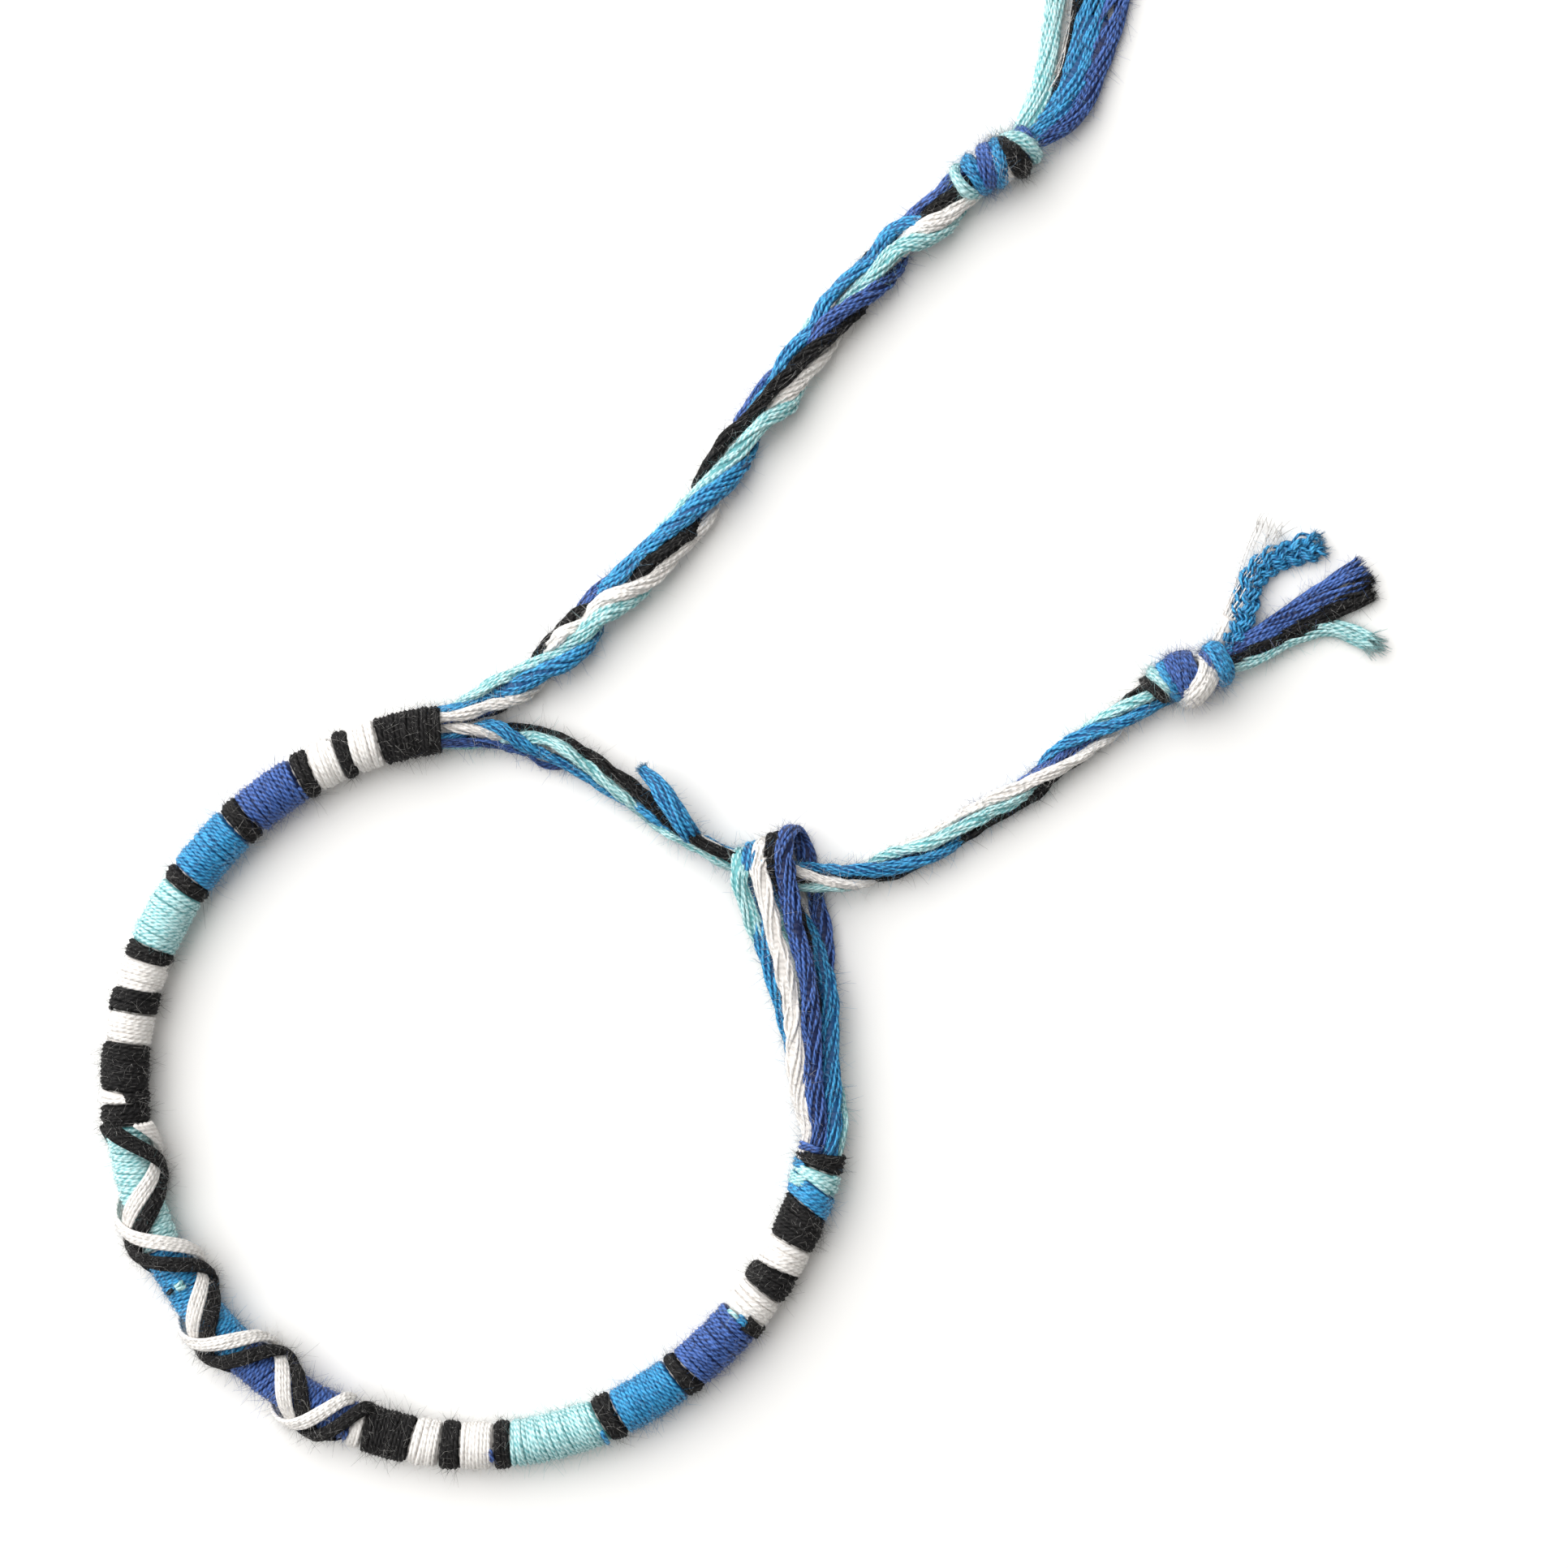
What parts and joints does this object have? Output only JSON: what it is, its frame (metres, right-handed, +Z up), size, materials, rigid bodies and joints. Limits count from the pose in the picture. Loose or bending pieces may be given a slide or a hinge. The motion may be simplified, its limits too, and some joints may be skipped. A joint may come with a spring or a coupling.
{
  "type": "friendship bracelet",
  "caption": "Wrapped cotton cord bracelet lying open on a surface, with a floss loop, two twisted tails and knotted tassels; one tail passes through the loop.",
  "frame": {"origin": "middle of the wrist opening, on the surface that the bracelet lies on", "axes": "+Z straight up from the surface; +X to the picture's right; +Y to the picture's top, so both tails run towards +X +Y"},
  "size_m": [0.1227, 0.1414, 0.0057],
  "materials": {
    "black_cotton": "soft stranded cotton",
    "navy_cotton": "soft stranded cotton",
    "blue_cotton": "soft stranded cotton",
    "aqua_cotton": "soft stranded cotton",
    "white_cotton": "soft stranded cotton",
    "mixed_cotton": "soft stranded cotton, several colours in one piece"
  },
  "bodies": {
    "root": {"core": "white_cotton", "wrap_01_black": "black_cotton", "wrap_02_white": "white_cotton", "wrap_03_black": "black_cotton", "wrap_04_white": "white_cotton", "wrap_05_black": "black_cotton", "wrap_06_navy": "navy_cotton", "wrap_07_black": "black_cotton", "wrap_08_blue": "blue_cotton", "wrap_09_black": "black_cotton", "wrap_10_aqua": "aqua_cotton", "wrap_11_black": "black_cotton", "wrap_12_white": "white_cotton", "wrap_13_black": "black_cotton", "wrap_14_white": "white_cotton", "wrap_15_black": "black_cotton", "wrap_16_white": "white_cotton", "wrap_17_black": "black_cotton", "wrap_18_aqua": "aqua_cotton", "wrap_19_blue": "blue_cotton", "wrap_20_navy": "navy_cotton", "wrap_21_white": "white_cotton", "wrap_22_black": "black_cotton", "wrap_23_white": "white_cotton", "wrap_24_black": "black_cotton", "wrap_25_white": "white_cotton", "wrap_26_black": "black_cotton", "wrap_27_aqua": "aqua_cotton", "wrap_28_black": "black_cotton", "wrap_29_blue": "blue_cotton", "wrap_30_black": "black_cotton", "wrap_31_navy": "navy_cotton", "wrap_32_white": "white_cotton", "wrap_33_black": "black_cotton", "wrap_34_white": "white_cotton", "wrap_35_black": "black_cotton", "wrap_36_blue": "blue_cotton", "wrap_37_aqua": "aqua_cotton", "wrap_38_black": "black_cotton", "lace_under_white": "white_cotton", "lace_under_black": "black_cotton", "lace_over_white": "white_cotton", "lace_over_black": "black_cotton", "loop_aqua": "aqua_cotton", "loop_blue": "blue_cotton", "loop_white": "white_cotton", "loop_black": "black_cotton", "loop_navy": "navy_cotton", "upper_tail_aqua": "aqua_cotton", "upper_tail_white": "white_cotton", "upper_tail_black": "black_cotton", "upper_tail_navy": "navy_cotton", "upper_tail_blue": "blue_cotton", "lower_tail_aqua": "aqua_cotton", "lower_tail_white": "white_cotton", "lower_tail_black": "black_cotton", "lower_tail_navy": "navy_cotton", "lower_tail_blue": "blue_cotton", "upper_knot_tassel": "mixed_cotton", "lower_knot_tassel": "mixed_cotton"}
  },
  "joints": []
}
